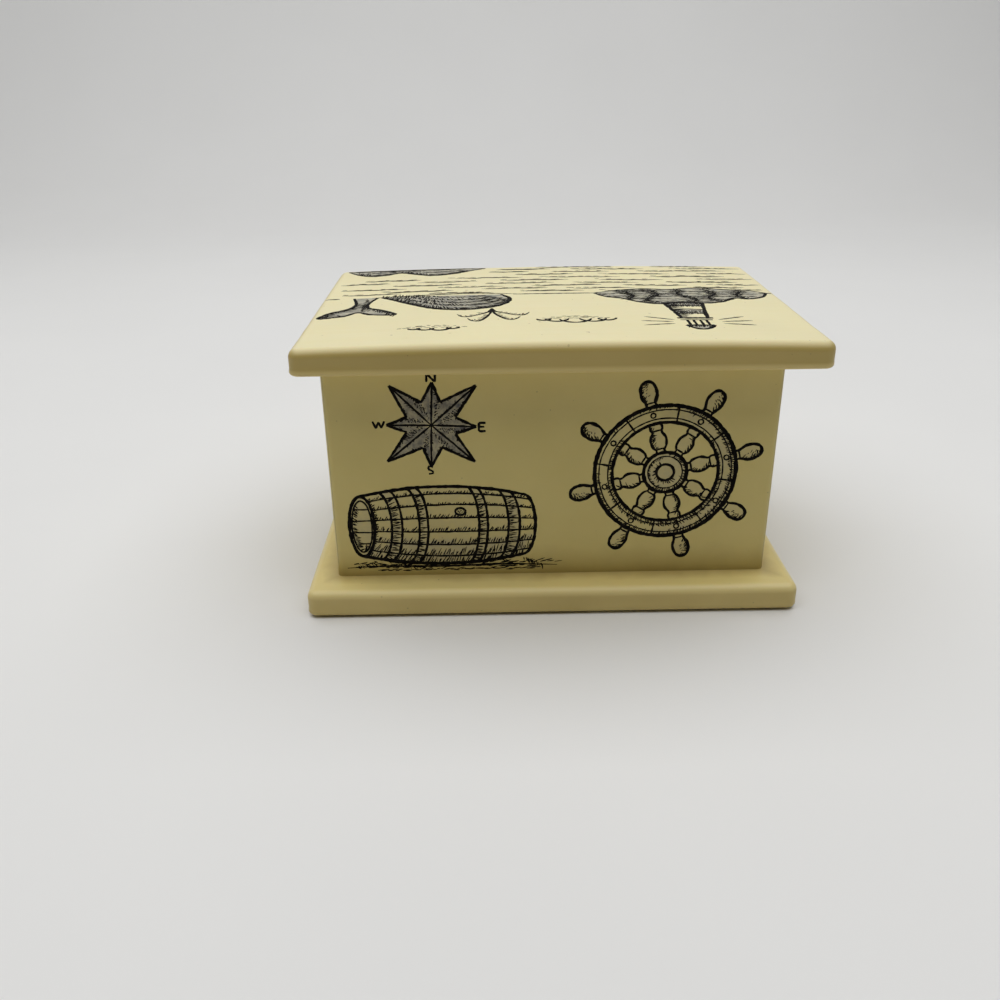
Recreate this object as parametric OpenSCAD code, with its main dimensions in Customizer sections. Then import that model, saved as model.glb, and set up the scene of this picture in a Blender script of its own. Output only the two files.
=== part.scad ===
// Ditty box of polished ivory-coloured slabs: four mitred walls stand on a wider base slab,
// and a crowned lid slab lifts straight off, located by a plate under it that drops between the walls.
// Millimetres. The origin is on the table, under the middle of the box. -Y is the engraved front.

/* [Body] */
// Width of the box across its outer walls
body_w = 101; // [80:1:140]
// Depth of the box across its outer walls
body_d = 66; // [50:1:100]
// Height of the four walls
wall_h = 51.4; // [35:0.1:80]
// Thickness of each wall slab
wall_t = 4; // [3:0.1:6]
// Radius of the rounded upright corners
wall_corner_r = 1.5; // [0.5:0.1:2.5]
// Width of the bevel on the inner rim of each wall, which leads the lid plate in
rim_bevel = 0.6; // [0.2:0.1:1]

/* [Base] */
// How far the base slab stands out past the left and right walls
base_overhang_side = 6.5; // [3:0.1:12]
// How far the base slab stands out past the front and back walls
base_overhang_front = 8.2; // [3:0.1:12]
// Thickness of the base slab
base_t = 6.1; // [4.5:0.1:9]

/* [Lid] */
// How far the lid slab stands out past the left and right walls
lid_overhang_side = 6.5; // [3:0.1:12]
// How far the lid slab stands out past the front and back walls
lid_overhang_front = 8.2; // [3:0.1:12]
// How far to the right of its locating plate the lid slab was glued, by eye
lid_offset = 1.4; // [-2:0.1:2]
// Thickness of the lid slab at its left and right ends
lid_t = 5.8; // [4.5:0.1:9]
// How much higher the middle of the lid is than its left and right ends
lid_crown = 0.8; // [0.2:0.1:3]
// Thickness of the locating plate glued under the lid
plate_t = 4; // [2:0.1:8]
// Gap between the locating plate and each wall
plate_gap = 0.5; // [0.3:0.1:1]
// Width of the bevel round the locating plate's lower edge
plate_bevel = 0.8; // [0.3:0.1:1.5]

/* [Slab edges] */
// Radius of the slabs' upper edges
top_edge_r = 2.2; // [1:0.1:3]
// Radius of the slabs' lower edges
bottom_edge_r = 0.9; // [0.4:0.1:1.2]
// Radius of the slabs' corners, seen from above
slab_corner_r = 2.6; // [1.5:0.1:5]

/* [Felt] */
// Thickness of the felt sheet under the base
base_felt_t = 0.6; // [0.4:0.1:3]
// How far the felt under the base stops short of the base's edge
base_felt_inset = 3; // [1.5:0.1:8]
// Thickness of the felt pad on the floor of the box
floor_felt_t = 1; // [0.5:0.1:3]
// Gap between the floor pad and each wall
floor_felt_gap = 0.3; // [0.2:0.1:1]
// Radius of the corners that the felt is cut to
felt_corner_r = 2; // [1:0.1:4]

/* [Hidden] */
$fn = 48;

// Heights of the faces that pieces rest on
base_z = base_felt_t;
floor_z = base_z + base_t;
rim_z = floor_z + wall_h;

// Sizes that follow from the walls
inner_w = body_w - 2 * wall_t;
inner_d = body_d - 2 * wall_t;
base_w = body_w + 2 * base_overhang_side;
base_d = body_d + 2 * base_overhang_front;
lid_w = body_w + 2 * lid_overhang_side;
lid_d = body_d + 2 * lid_overhang_front;

// Steps of a slab's rounded surfaces
corner_steps = 6;
long_side_steps = 10;
short_side_steps = 4;
top_edge_steps = 6;
bottom_edge_steps = 3;
crown_steps = 4;
least_corner_r = 0.15;

ivory = [0.89, 0.85, 0.69];
ivory_shade = [0.86, 0.81, 0.64];
felt_green = [0.16, 0.27, 0.20];

// Points evenly spaced from one corner's end to the next corner's start
function side_points(from, to, steps) =
    [for (i = [1 : steps - 1]) from + (to - from) * i / steps];

// The quarter circle at one corner: turn is 0 at the front right and counts anticlockwise
function corner_points(x, y, r, turn) =
    [for (i = [0 : corner_steps])
        let (a = -90 + 90 * turn + 90 * i / corner_steps) [x + r * cos(a), y + r * sin(a)]];

// A slab's outline seen from above, drawn in by inset from its full size
function slab_outline(w, d, inset) =
    let (
        r = max(slab_corner_r - inset, least_corner_r),
        x = w / 2 - inset - r,
        y = d / 2 - inset - r,
        front_right = corner_points(x, -y, r, 0),
        back_right = corner_points(x, y, r, 1),
        back_left = corner_points(-x, y, r, 2),
        front_left = corner_points(-x, -y, r, 3)
    )
    concat(
        front_right, side_points(front_right[corner_steps], back_right[0], short_side_steps),
        back_right, side_points(back_right[corner_steps], back_left[0], long_side_steps),
        back_left, side_points(back_left[corner_steps], front_left[0], short_side_steps),
        front_left, side_points(front_left[corner_steps], front_right[0], long_side_steps)
    );

// The rise of a crowned top above its ends, a shallow arch across the width
function crown_rise(x, w, crown) = crown * (1 - pow(2 * x / w, 2));

// One closed ring of a slab: an outline at height z, lifted by its share of the crown
function slab_ring(outline, z, w, crown) =
    [for (p = outline) [p[0], p[1], z + crown_rise(p[0], w, crown)]];

// Rings from the lower face round the edge to the middle of the top
function slab_rings(w, d, t, crown) = concat(
    [for (i = [0 : bottom_edge_steps])
        let (a = 90 * i / bottom_edge_steps)
        slab_ring(
            slab_outline(w, d, bottom_edge_r * (1 - sin(a))), bottom_edge_r * (1 - cos(a)), w, 0)],
    [for (i = [0 : top_edge_steps])
        let (a = 90 * i / top_edge_steps)
        slab_ring(
            slab_outline(w, d, top_edge_r * (1 - cos(a))),
            t - top_edge_r * (1 - sin(a)), w, crown)],
    [for (i = [1 : crown_steps - 1])
        let (share = 1 - i / crown_steps)
        slab_ring([for (p = slab_outline(w, d, top_edge_r)) p * share], t, w, crown)]
);

// A slab with softly rounded edges and an optional crown, as one closed skin over its rings
module soft_slab(w, d, t, crown = 0) {
    rings = slab_rings(w, d, t, crown);
    n = len(rings[0]);
    last = len(rings) - 1;
    skin = [for (k = [0 : last - 1], i = [0 : n - 1], half = [0, 1])
        let (a = k * n + i, b = k * n + (i + 1) % n)
        half == 0 ? [a, a + n, b + n] : [a, b + n, b]];
    middle = n * len(rings);
    lower_face = [for (i = [0 : n - 1]) [middle + 1, i, (i + 1) % n]];
    top_face = [for (i = [0 : n - 1]) [middle, last * n + (i + 1) % n, last * n + i]];
    points = concat(
        [for (ring = rings) each ring],
        [[0, 0, t + crown], [0, 0, 0]]
    );
    polyhedron(points = points, faces = concat(skin, lower_face, top_face));
}

// A flat rectangle with round corners
module rounded_rectangle(w, d, r) {
    square([w - 2 * r, d], center = true);
    square([w, d - 2 * r], center = true);
    for (sx = [-1, 1], sy = [-1, 1])
        translate([sx * (w / 2 - r), sy * (d / 2 - r)]) circle(r);
}

// The ring of four walls before it is cut at the mitres, with its inner rim bevelled
module wall_ring() {
    difference() {
        translate([0, 0, floor_z])
            linear_extrude(wall_h) rounded_rectangle(body_w, body_d, wall_corner_r);
        translate([-inner_w / 2, -inner_d / 2, floor_z - 1])
            cube([inner_w, inner_d, wall_h + 2]);
        bevel_cut(inner_w, inner_d + 2 * rim_bevel);
        rotate([0, 0, 90]) bevel_cut(inner_d, inner_w + 2 * rim_bevel);
    }
}

// A long trapezoid that bevels two facing inner rims, spread gap apart
module bevel_cut(gap, reach) {
    half = gap / 2;
    translate([0, reach / 2, rim_z])
        rotate([90, 0, 0])
            linear_extrude(reach)
                polygon([
                    [-half, -rim_bevel], [half, -rim_bevel],
                    [half + rim_bevel, 0], [half + rim_bevel, 1],
                    [-half - rim_bevel, 1], [-half - rim_bevel, 0]
                ]);
}

// The wedge of space that holds the front wall, bounded by the two 45 degree mitres
module mitre_wedge(length, depth) {
    outer = length / 2;
    inner = outer - wall_t - 1;
    translate([0, 0, floor_z - 1])
        linear_extrude(wall_h + 2)
            polygon([
                [-outer - 1, -depth / 2 - 1], [outer + 1, -depth / 2 - 1],
                [inner, -depth / 2 + wall_t + 1], [-inner, -depth / 2 + wall_t + 1]
            ]);
}

module front_wall() {
    color(ivory)
        intersection() {
            wall_ring();
            mitre_wedge(body_w, body_d);
        }
}

module back_wall() {
    color(ivory)
        intersection() {
            wall_ring();
            rotate([0, 0, 180]) mitre_wedge(body_w, body_d);
        }
}

module left_wall() {
    color(ivory_shade)
        intersection() {
            wall_ring();
            rotate([0, 0, -90]) mitre_wedge(body_d, body_w);
        }
}

module right_wall() {
    color(ivory_shade)
        intersection() {
            wall_ring();
            rotate([0, 0, 90]) mitre_wedge(body_d, body_w);
        }
}

module base_slab() {
    color(ivory)
        translate([0, 0, base_z]) soft_slab(base_w, base_d, base_t);
}

module base_felt() {
    color(felt_green)
        linear_extrude(base_felt_t)
            rounded_rectangle(
                base_w - 2 * base_felt_inset, base_d - 2 * base_felt_inset, felt_corner_r);
}

module floor_lining() {
    color(felt_green)
        translate([0, 0, floor_z])
            linear_extrude(floor_felt_t)
                square([inner_w - 2 * floor_felt_gap, inner_d - 2 * floor_felt_gap], center = true);
}

module lid_slab() {
    color(ivory)
        translate([lid_offset, 0, rim_z]) soft_slab(lid_w, lid_d, lid_t, lid_crown);
}

// One bevelled section of the locating plate, run along the other direction
module plate_section(w, run) {
    half = w / 2;
    translate([0, run / 2, 0])
        rotate([90, 0, 0])
            linear_extrude(run)
                polygon([
                    [-half, 0], [-half, -plate_t + plate_bevel],
                    [-half + plate_bevel, -plate_t], [half - plate_bevel, -plate_t],
                    [half, -plate_t + plate_bevel], [half, 0]
                ]);
}

module lid_locating_plate() {
    plate_w = inner_w - 2 * plate_gap;
    plate_d = inner_d - 2 * plate_gap;
    color(ivory_shade)
        translate([0, 0, rim_z])
            intersection() {
                plate_section(plate_w, plate_d);
                rotate([0, 0, 90]) plate_section(plate_d, plate_w);
            }
}

base_felt();
base_slab();
front_wall();
back_wall();
left_wall();
right_wall();
floor_lining();
lid_slab();
lid_locating_plate();
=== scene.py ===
import bpy
import math
import numpy as np
from mathutils import Matrix, Vector, noise


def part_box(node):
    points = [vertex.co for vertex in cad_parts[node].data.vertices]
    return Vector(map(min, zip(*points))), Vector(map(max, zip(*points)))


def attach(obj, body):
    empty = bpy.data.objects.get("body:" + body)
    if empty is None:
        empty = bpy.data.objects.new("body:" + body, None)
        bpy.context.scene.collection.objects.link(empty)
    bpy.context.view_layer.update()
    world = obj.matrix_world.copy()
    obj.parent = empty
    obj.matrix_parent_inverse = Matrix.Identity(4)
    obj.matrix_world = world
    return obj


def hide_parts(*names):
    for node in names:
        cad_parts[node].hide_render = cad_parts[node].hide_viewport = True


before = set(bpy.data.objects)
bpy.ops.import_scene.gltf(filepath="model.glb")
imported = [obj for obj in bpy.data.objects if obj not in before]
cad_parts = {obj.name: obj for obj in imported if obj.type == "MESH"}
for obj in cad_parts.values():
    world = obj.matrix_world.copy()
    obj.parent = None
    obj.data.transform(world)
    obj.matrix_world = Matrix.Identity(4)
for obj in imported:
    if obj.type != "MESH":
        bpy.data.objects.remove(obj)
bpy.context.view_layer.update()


# The base slab: one piece of cream cast polymer sheet, sawn to size, its edges and
# corners rounded over by hand and then buffed. The four walls are glued on top of it.
def mesh_from(name, points, faces, edges=()):
    mesh = bpy.data.meshes.new(name)
    mesh.from_pydata(points, edges, faces)
    return mesh


def mark(mesh, label, values):
    """Gives every point of a mesh a named number."""
    mesh.attributes.new(label, "FLOAT", "POINT").data.foreach_set("value", values)


def put_in_scene(name, mesh, crease=None):
    """Makes a mesh a piece, smooth but for edges sharper than crease degrees."""
    if crease:
        mesh.polygons.foreach_set("use_smooth", [True] * len(mesh.polygons))
        mesh.set_sharp_from_angle(angle=math.radians(crease))
    piece = bpy.data.objects.new(name, mesh)
    bpy.context.scene.collection.objects.link(piece)
    return piece


def faces_between(rings, n):
    """The quads that join closed rings of n points, each ring to the next."""
    faces = []
    for k in range(rings - 1):
        for i in range(n):
            j = (i + 1) % n
            faces.append((k * n + i, k * n + j, (k + 1) * n + j, (k + 1) * n + i))
    return faces


def soft_slab(name, node, middle, crown, top_r, bottom_r, corner_r, cell,
              uneven, worn_top, foot_bounce_light, seed):
    """A slab that fills a node's box, with rounded edges and hollows from hand work.

    cell is the size of the top's grid, uneven the depth of the hollows, worn_top their share on the
    top, and foot_bounce_light how much painted bounce light tints the lower edge."""
    foot_steps, top_steps, turn = 4, 9, 8
    low, high = (np.array(v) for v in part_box(node))
    wide, deep, thick = high[0] - low[0], high[1] - low[1], high[2] - low[2] - crown
    across = np.linspace(-1, 1, round((wide - 2 * top_r) / cell) + 1)
    along = np.linspace(-1, 1, round((deep - 2 * top_r) / cell) + 1)
    nx, ny = len(across), len(along)

    # the rings from the lower face to the top's rim: inset, height, share of the crown, and edge
    # tint, which is painted bounce light on the foot and wear with a painted highlight on the rim
    rings = []
    # the foot's rings; their edge tint is painted bounce light
    for i in range(foot_steps + 1):
        a = math.pi / 2 * i / foot_steps
        rings.append((bottom_r * (1 - math.sin(a)), bottom_r * (1 - math.cos(a)), 0, foot_bounce_light))
    for share in (0.25, 0.5, 0.75):
        rings.append((0, bottom_r + (thick - top_r - bottom_r) * share, share, 0.0))
    # the rim's rings; their edge tint, strongest halfway round, is wear and a painted highlight
    for i in range(top_steps):
        a = math.pi / 2 * i / top_steps
        rings.append(
            (top_r * (1 - math.cos(a)), thick - top_r * (1 - math.sin(a)), 1, math.sin(2 * a)))

    points, edge = [], []
    for inset, height, lift, worn in rings:
        r = corner_r * (1 - inset / top_r)
        hx, hy = wide / 2 - inset - r, deep / 2 - inset - r
        sides = (
            [(x * hx, -hy - r) for x in across], [(hx + r, y * hy) for y in along],
            [(-x * hx, hy + r) for x in across], [(-hx - r, -y * hy) for y in along])
        corners = ((hx, -hy), (hx, hy), (-hx, hy), (-hx, -hy))
        for k, (side, (cx, cy)) in enumerate(zip(sides, corners)):
            bend = [math.radians(90 * (k - 1 + i / turn)) for i in range(1, turn)]
            for x, y in side + [(cx + r * math.cos(a), cy + r * math.sin(a)) for a in bend]:
                rise = lift * crown * (1 - (2 * x / wide) ** 2)
                points.append((x + middle, y, low[2] + height + rise))
                edge.append(worn)
    n = len(points) // len(rings)
    faces = [tuple(range(n - 1, -1, -1))] + faces_between(len(rings), n)

    # the top's grid, and the strip that joins it to the last ring
    top = len(points)
    hx, hy = wide / 2 - top_r, deep / 2 - top_r
    for y in along:
        for x in across:
            rise = crown * (1 - (2 * x * hx / wide) ** 2)
            points.append((x * hx + middle, y * hy, low[2] + thick + rise))
            edge.append(0.0)
    for j in range(ny - 1):
        for i in range(nx - 1):
            a = top + j * nx + i
            faces.append((a, a + 1, a + nx + 1, a + nx))
    sides = (
        [top + i for i in range(nx)], [top + nx - 1 + j * nx for j in range(ny)],
        [top + ny * nx - 1 - i for i in range(nx)], [top + (ny - 1 - j) * nx for j in range(ny)])
    rim = [i for side in sides for i in side + [side[-1]] * (turn - 1)]
    for i in range(n):
        j = (i + 1) % n
        quad = (top - n + i, top - n + j, rim[j], rim[i])
        faces.append(quad if rim[i] != rim[j] else quad[:3])

    # broad and small hollows, with none at the foot, where the slab rests on its neighbour
    mesh = mesh_from(name, points, faces)
    mesh.update()
    outward = np.array([v.normal[:] for v in mesh.vertices])
    still, ease, broad_scale, small_scale = 0.0004, 0.001, 38, 140
    for v, out in zip(mesh.vertices, outward):
        grip = min(1.0, max(0.0, (v.co.z - low[2] - still) / ease))
        broad = noise.noise(v.co * broad_scale + Vector((seed, 0, 0)))
        small = noise.noise(v.co * small_scale + Vector((0, seed, 0)))
        share = 1 - (1 - worn_top) * max(0.0, out[2])
        v.co -= Vector(out) * uneven * grip * share * max(0.45, 0.5 + 0.9 * broad + 0.25 * small)
    mark(mesh, "edge", edge)
    return put_in_scene(name, mesh, crease=40)


def effect(name, takes, gives):
    """An empty shader group with named sockets."""
    group = bpy.data.node_groups.new(name, "ShaderNodeTree")
    for label, kind, value in takes:
        socket = group.interface.new_socket(label, in_out="INPUT", socket_type="NodeSocket" + kind)
        socket.default_value = value
    for label, kind in gives:
        group.interface.new_socket(label, in_out="OUTPUT", socket_type="NodeSocket" + kind)
    nodes = group.nodes
    return group, nodes.new("NodeGroupInput").outputs, nodes.new("NodeGroupOutput").inputs


def feed(tree, node, sockets):
    """Links or fills a node's sockets."""
    for key, value in sockets.items():
        if isinstance(value, bpy.types.NodeSocket):
            tree.links.new(value, node.inputs[key])
        else:
            node.inputs[key].default_value = value


def place(tree, kind, sockets=None, **settings):
    """Adds a node, sets its options, and feeds its sockets."""
    node = tree.nodes.new(kind)
    for key, value in settings.items():
        setattr(node, key, value)
    feed(tree, node, sockets or {})
    return node


def mix(tree, factor, first, second):
    """A mix of two colours, which are the Mix node's sockets 6 and 7."""
    sockets = {"Factor": factor, 6: first, 7: second}
    return place(tree, "ShaderNodeMix", sockets, data_type="RGBA").outputs[2]


def reach(tree, value, low, high, to_low=0.0, to_high=1.0):
    return place(tree, "ShaderNodeMapRange", {
        "Value": value, "From Min": low, "From Max": high,
        "To Min": to_low, "To Max": to_high}).outputs[0]


def reckon(tree, operation, first, second=None):
    sockets = {0: first} if second is None else {0: first, 1: second}
    return place(tree, "ShaderNodeMath", sockets, operation=operation).outputs[0]


def speckle(tree, at, scale, detail, **more):
    """Noise from 0 to 1, its scale in spots a metre."""
    sockets = {"Vector": at, "Scale": scale, "Detail": detail, **more}
    return place(tree, "ShaderNodeTexNoise", sockets).outputs[0]


def spot_on(tree):
    return place(tree, "ShaderNodeTexCoord").outputs["Object"]


def marked(tree, label):
    return place(tree, "ShaderNodeAttribute", attribute_name=label).outputs["Fac"]


def finish(name):
    """A new material, its tree and its Principled shader."""
    material = bpy.data.materials.new(name)
    material.use_nodes = True
    return material, material.node_tree, material.node_tree.nodes["Principled BSDF"]


# cloudy cast colour: soft clouds a few centimetres across and rare dark specks in the polymer
cast, into, out = effect("cast_clouds", [
    ("Clean", "Color", (0.8, 0.7, 0.4, 1)), ("Deep", "Color", (0.7, 0.6, 0.3, 1)),
    ("Cloud scale", "Float", 45.0), ("Specks", "Float", 0.5)], [("Color", "Color")])
at = spot_on(cast)
cloud = speckle(cast, at, into["Cloud scale"], 4.0)
speck = reach(cast, speckle(cast, at, 1000.0, 0.0), 0.845, 0.875)
speck_colour = (0.19, 0.14, 0.06, 1)
tone = mix(cast, reach(cast, cloud, 0.35, 0.7), into["Clean"], into["Deep"])
tone = mix(cast, reckon(cast, "MULTIPLY", speck, into["Specks"]), tone, speck_colour)
cast.links.new(tone, out["Color"])

# buffed surface: faint ripples from sanding by hand, fine rub marks, and a gloss that varies
buff, into, out = effect(
    "hand_buffed", [("Dull", "Float", 0.46), ("Shiny", "Float", 0.34)],
    [("Roughness", "Float"), ("Height", "Float")])
at = spot_on(buff)
ripple = speckle(buff, at, 95.0, 2.0)
grain = speckle(buff, at, 900.0, 3.0)
drawn_out = place(buff, "ShaderNodeMapping", {"Vector": at, "Scale": (30, 420, 420)}).outputs[0]
rub = speckle(buff, drawn_out, 1.0, 2.0)
tall = reckon(buff, "ADD", ripple, reach(buff, grain, 0, 1, -0.06, 0.06))
tall = reckon(buff, "ADD", tall, reach(buff, rub, 0, 1, -0.03, 0.03))
gloss = place(buff, "ShaderNodeMix", {
    "Factor": reach(buff, rub, 0.3, 0.7), 2: into["Shiny"], 3: into["Dull"]}, data_type="FLOAT")
buff.links.new(tall, out["Height"])
buff.links.new(gloss.outputs[0], out["Roughness"])

# painted shade in the corner where the walls meet the base: strongest at the joint, gone a few
# millimetres away, both out along the base and up the walls
painted_corner_shade, into, out = effect("painted_corner_shade", [
    ("Half width", "Float", 0.05), ("Half depth", "Float", 0.03), ("Joint", "Float", 0.0),
    ("Out", "Float", 0.004), ("Up", "Float", 0.007)], [("Mask", "Float")])
at = spot_on(painted_corner_shade)
where = place(painted_corner_shade, "ShaderNodeSeparateXYZ", {0: at}).outputs
gaps = [
    reckon(painted_corner_shade, "SUBTRACT", reckon(painted_corner_shade, "ABSOLUTE", where[axis]), into[half])
    for axis, half in ((0, "Half width"), (1, "Half depth"))]
gap = reckon(painted_corner_shade, "DIVIDE", reckon(painted_corner_shade, "MAXIMUM", *gaps), into["Out"])
rise = reckon(painted_corner_shade, "SUBTRACT", where[2], into["Joint"])
rise = reckon(painted_corner_shade, "DIVIDE", rise, into["Up"])
patchy = reach(painted_corner_shade, speckle(painted_corner_shade, at, 160.0, 3.0), 0.2, 0.8, -0.25, 0.25)
away = reckon(painted_corner_shade, "ADD", reckon(painted_corner_shade, "MAXIMUM", gap, rise), patchy)
painted_corner_shade.links.new(reach(painted_corner_shade, away, 0.0, 1.0, 1.0, 0.0), out["Mask"])

# the ring of walls that stands on the slab, round whose foot the shade is painted
walls = [
    corner for side in ("front_wall", "back_wall", "left_wall", "right_wall")
    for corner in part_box(side)]
ring_low = Vector([min(corner[i] for corner in walls) for i in range(3)])
ring_high = Vector([max(corner[i] for corner in walls) for i in range(3)])


def ivory(name, clean, deep, edge_wear_and_light, stain=False, painted_top_light=None, painted_shade=0.0):
    """Cream cast polymer. rubbed is its colour along the rounded edges, wear with a painted
    highlight, and on the lid's foot painted bounce light; bleach is a paler colour painted on
    upward faces as painted light on the top; dirt is how strong the painted shade is where the
    walls meet the base. Ink washes show where stain is set."""
    material, tree, shader = finish(name)
    clouds = {"Clean": clean, "Deep": deep}
    colour = place(tree, "ShaderNodeGroup", clouds, node_tree=cast).outputs[0]
    # upward faces painted paler than the sides: painted light on the top
    if painted_top_light:
        normal = place(tree, "ShaderNodeNewGeometry").outputs["Normal"]
        up = place(tree, "ShaderNodeSeparateXYZ", {0: normal}).outputs[2]
        clouds = {"Clean": painted_top_light, "Deep": tuple(0.965 * c for c in painted_top_light[:3]) + (1,)}
        pale = place(tree, "ShaderNodeGroup", clouds, node_tree=cast).outputs[0]
        colour = mix(tree, reach(tree, up, 0.35, 0.97), colour, pale)
    # rounded edges painted lighter: wear with a painted highlight on the rim, painted bounce light
    # on the lid's foot
    colour = mix(tree, reach(tree, marked(tree, "edge"), 0.25, 2.0), colour, edge_wear_and_light)
    # painted shade, darker towards the joint of walls and base; the glue line after it is a real
    # dark joint in the same colour
    if painted_shade:
        joint = {"Half width": ring_high.x, "Half depth": ring_high.y, "Joint": ring_low.z}
        corner = place(tree, "ShaderNodeGroup", joint, node_tree=painted_corner_shade).outputs[0]
        shade_and_glue_colour = tuple(c * f for c, f in zip(clean, (0.62, 0.57, 0.5))) + (1,)
        colour = mix(tree, reach(tree, corner, 0.0, 1.0, 0.0, painted_shade), colour, shade_and_glue_colour)
        colour = mix(tree, marked(tree, "glue_line"), colour, shade_and_glue_colour)
    if stain:
        blots = speckle(tree, spot_on(tree), 420.0, 5.0, Roughness=0.7)
        blots = reach(tree, blots, 0.32, 0.62, to_low=0.48)
        soak = reckon(tree, "MULTIPLY", marked(tree, "ink_wash"), blots)
        thin_ink, full_ink = (0.13, 0.147, 0.215, 1), (0.031, 0.033, 0.045, 1)
        grey = mix(tree, reach(tree, soak, 0.42, 0.9), thin_ink, full_ink)
        colour = mix(tree, soak, colour, grey)
    buffed = place(tree, "ShaderNodeGroup", node_tree=buff).outputs
    bump = place(tree, "ShaderNodeBump", {
        "Height": buffed["Height"], "Strength": 0.22, "Distance": 0.0006}).outputs[0]
    feed(tree, shader, {
        "Base Color": colour, "Roughness": buffed["Roughness"], "Normal": bump, "IOR": 1.5,
        "Subsurface Weight": 0.12, "Subsurface Radius": (1.0, 0.6, 0.25),
        "Subsurface Scale": 0.0015})
    return material


base = soft_slab(
    "base_plinth", "base_slab", middle=0.0, crown=0.0, top_r=0.0022, bottom_r=0.0009,
    corner_r=0.0026, cell=0.0018, uneven=0.00022, worn_top=0.0, foot_bounce_light=0.0, seed=3.0)
# the base: painted light on its top, a painted highlight on its rounded edges, painted shade round
# the foot of the walls
base_ivory = ivory(
    "base_ivory", (0.64, 0.50, 0.18, 1), (0.58, 0.45, 0.155, 1), (0.95, 0.82, 0.42, 1),
    painted_top_light=(0.82, 0.68, 0.28, 1), painted_shade=0.7)
base.data.materials.append(base_ivory)
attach(base, "box")
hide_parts("base_slab")


# The felt under the base: a thin die-cut sheet glued on, set in from the edge all round,
# so that the box slides on a table without scratching it.
def felt_sheet(name, node, seed):
    """A cut sheet of felt that fills a node's box, its upper face a little lumpy."""
    cell, lump, lumps_a_metre = 0.0012, 0.00006, 260
    low, high = (np.array(v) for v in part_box(node))
    nx, ny = (round((high[i] - low[i]) / cell) + 1 for i in (0, 1))
    points, faces = [], []
    for level in (0, 1):
        for y in np.linspace(low[1], high[1], ny):
            for x in np.linspace(low[0], high[0], nx):
                at = Vector((x * lumps_a_metre, y * lumps_a_metre, seed + level))
                sink = lump * (1 + noise.noise(at)) if level else 0.0
                points.append((x, y, (high[2] if level else low[2]) - sink))
    up = nx * ny
    for j in range(ny - 1):
        for i in range(nx - 1):
            a = j * nx + i
            faces.append((a, a + nx, a + nx + 1, a + 1))
            faces.append((a + up, a + up + 1, a + up + nx + 1, a + up + nx))
    rim = list(range(nx)) + [nx - 1 + j * nx for j in range(1, ny)]
    rim += [(ny - 1) * nx + i for i in range(nx - 2, -1, -1)]
    rim += [j * nx for j in range(ny - 2, 0, -1)]
    for a, b in zip(rim, rim[1:] + rim[:1]):
        faces.append((a, b, b + up, a + up))
    return put_in_scene(name, mesh_from(name, points, faces), crease=40)


felt, tree, shader = finish("green_felt")
at = spot_on(tree)
fibre = speckle(tree, at, 1900.0, 4.0, Distortion=1.2)
worn = reach(tree, speckle(tree, at, 70.0, 3.0), 0.45, 0.8, 0.0, 0.3)
nap = mix(tree, reach(tree, fibre, 0.3, 0.7), (0.018, 0.045, 0.028, 1), (0.05, 0.105, 0.066, 1))
feed(tree, shader, {
    "Base Color": mix(tree, worn, nap, (0.07, 0.12, 0.08, 1)),
    "Normal": place(tree, "ShaderNodeBump", {
        "Height": fibre, "Strength": 0.7, "Distance": 0.0003}).outputs[0],
    "Roughness": 0.95, "Sheen Weight": 0.35, "Sheen Roughness": 0.5})

under = felt_sheet("felt_under_base", "base_felt", 1.0)
under.data.materials.append(felt)
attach(under, "box")
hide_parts("base_felt")
low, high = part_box("base_felt")

# The four walls: strips of the same sheet, mitred at 45 degrees and glued into a ring, the
# upright corners rounded over afterwards and a small bevel run round the inner rim.
WALL, CORNER, RIM = 0.004, 0.0015, 0.0006  # thickness, corner radius, width of the bevel


def mitred_wall(name, turn, cell):
    """One wall between its mitres; turn counts quarter turns from the front."""
    span = (ring_high.x - ring_low.x, ring_high.y - ring_low.y)
    long, apart = span[turn % 2], span[(turn + 1) % 2]
    steps, by_mitre = 6, 0.992  # by_mitre: a point beside each mitre, so its glue line is thin
    bend = [math.radians(225 + 45 * i / steps) for i in range(steps + 1)]
    left = [
        (-long / 2 + CORNER + CORNER * math.cos(a), CORNER + CORNER * math.sin(a)) for a in bend]
    face = np.linspace(-long / 2 + CORNER, long / 2 - CORNER, round(long / cell))
    plan = left + [(x, 0.0) for x in face[1:-1]] + [(-x, y) for x, y in reversed(left)]
    shares = (1, by_mitre, 0.5, 0, -0.5, -by_mitre, -1)
    inside = [((long / 2 - WALL) * share, WALL) for share in shares]
    z0, z1 = ring_low.z, ring_high.z
    levels = list(np.linspace(z0, z1 - RIM, round((z1 - z0) / cell))) + [z1]
    quarter = Matrix.Rotation(math.radians(90 * turn), 3, "Z")
    points, glue = [], []
    n = len(plan) + len(inside)
    for z in levels:
        cut = RIM if z == z1 else 0.0
        for i, (x, y) in enumerate(plan + inside):
            if y == WALL:
                x, y = x * (1 + 2 * cut / (long - 2 * WALL)), WALL - cut
            points.append((quarter @ Vector((x, y - apart / 2, z)))[:])
            glue.append(1.0 if i in (0, len(plan) - 1, len(plan), n - 1) else 0.0)
    faces = [tuple(range(n - 1, -1, -1)), tuple(range(len(points) - n, len(points)))]
    mesh = mesh_from(name, points, faces + faces_between(len(levels), n))
    mark(mesh, "glue_line", glue)
    return put_in_scene(name, mesh, crease=30)


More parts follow.
